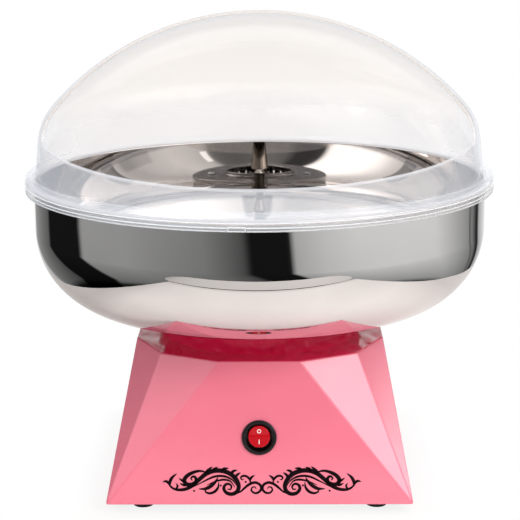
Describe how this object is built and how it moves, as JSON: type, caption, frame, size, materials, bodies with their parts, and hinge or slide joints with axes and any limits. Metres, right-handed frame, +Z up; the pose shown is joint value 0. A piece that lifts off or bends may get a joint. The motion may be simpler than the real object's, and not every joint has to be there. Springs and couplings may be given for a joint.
{
  "type": "cotton candy machine",
  "caption": "Electric table-top cotton candy machine: faceted base with rocker switch, mirror steel bowl, spinning heated head and clear hood open at the front.",
  "frame": {"origin": "on the floor that the feet stand on, under the shaft axis, at the middle of the object", "axes": "+Z up along the shaft, -Y to the front with the switch and the open side of the cover, +X to the right as seen by the user facing +Y"},
  "size_m": [0.321, 0.321, 0.3213],
  "materials": {
    "housing_pink": "glossy moulded ABS, candy pink",
    "mirror_steel": "spun stainless steel, mirror polished inside and out",
    "clear_plastic": "clear injection-moulded plastic, slightly milky at its flange",
    "black_rubber": "matt black rubber",
    "grey_rubber": "soft silicone",
    "base_plastic": "textured dark grey plastic",
    "switch_black": "glossy black nylon",
    "rocker_red": "translucent red plastic",
    "gland_black": "black nylon",
    "zinc_steel": "zinc-plated steel",
    "shaft_steel": "ground steel",
    "cast_head": "turned aluminium",
    "polished_metal": "polished and plated",
    "bronze": "oil-filled sintered bronze",
    "copper": "enamelled copper wire, and copper segments",
    "tinned_brass": "tinned brass",
    "iron_core": "stacked electrical sheet",
    "ferrite": "sintered ferrite",
    "carbon": "pressed carbon",
    "ceramic": "unglazed steatite",
    "element_sheath": "heat-darkened steel sheath",
    "fan_plastic": "glass-filled nylon",
    "block_plastic": "cream phenolic",
    "lead_insulation": "silicone insulation"
  },
  "bodies": {
    "base": {"base_housing": "housing_pink", "bottom_plate": "base_plastic", "foot_rear_right": "black_rubber", "foot_rear_left": "black_rubber", "foot_front_left": "black_rubber", "foot_front_right": "black_rubber", "bowl_seat": "housing_pink", "bowl_gasket": "grey_rubber", "motor_mount": "zinc_steel", "motor_grommets": "black_rubber", "motor_can": "zinc_steel", "motor_end_bell": "base_plastic", "upper_bearing": "bronze", "lower_bearing": "bronze", "brush_right": "carbon", "brush_left": "carbon", "magnet_right": "ferrite", "magnet_left": "ferrite", "heater_pan": "mirror_steel", "ceramic_pillars": "ceramic", "heating_element": "element_sheath", "element_bushes": "ceramic", "element_clips": "zinc_steel", "thermal_cutout": "zinc_steel", "switch_body": "switch_black", "switch_terminals": "tinned_brass", "cord_gland": "gland_black", "gland_nut": "gland_black", "terminal_block": "block_plastic", "terminal_screws": "zinc_steel", "plate_screws": "zinc_steel", "mount_screws": "zinc_steel", "seat_screws": "zinc_steel", "motor_screws": "zinc_steel", "pillar_screws": "zinc_steel", "switch_leads": "lead_insulation", "motor_leads": "lead_insulation", "heater_leads": "lead_insulation", "cutout_link": "lead_insulation"},
    "spindle": {"motor_shaft": "shaft_steel", "armature_core": "iron_core", "armature_windings": "copper", "commutator": "copper", "drive_pin": "shaft_steel", "cooling_fan": "fan_plastic"},
    "head": {"head_body": "cast_head", "head_band": "cast_head", "head_cap": "cast_head", "head_knob": "polished_metal", "cap_screws": "zinc_steel"},
    "bowl": {"bowl": "mirror_steel"},
    "cover": {"dome_cover": "clear_plastic"},
    "rocker": {"switch_rocker": "rocker_red"}
  },
  "joints": [
    {"name": "spindle_spin", "type": "hinge", "parent": "base", "child": "spindle", "pos_m": [0, 0, 0.06], "axis": [0, 0, 1], "continuous": true},
    {"name": "head_lift", "type": "slide", "parent": "spindle", "child": "head", "axis": [0, 0, 1], "range_m": [0, 0.05]},
    {"name": "bowl_lift", "type": "slide", "parent": "base", "child": "bowl", "axis": [0, 0, 1], "range_m": [0, 0.1]},
    {"name": "cover_lift", "type": "slide", "parent": "bowl", "child": "cover", "axis": [0, 0, 1], "range_m": [0, 0.12]},
    {"name": "rocker_tilt", "type": "hinge", "parent": "base", "child": "rocker", "pos_m": [0, -0.09069, 0.05047], "axis": [1, 0, 0], "range_deg": [0, 20]}
  ]
}
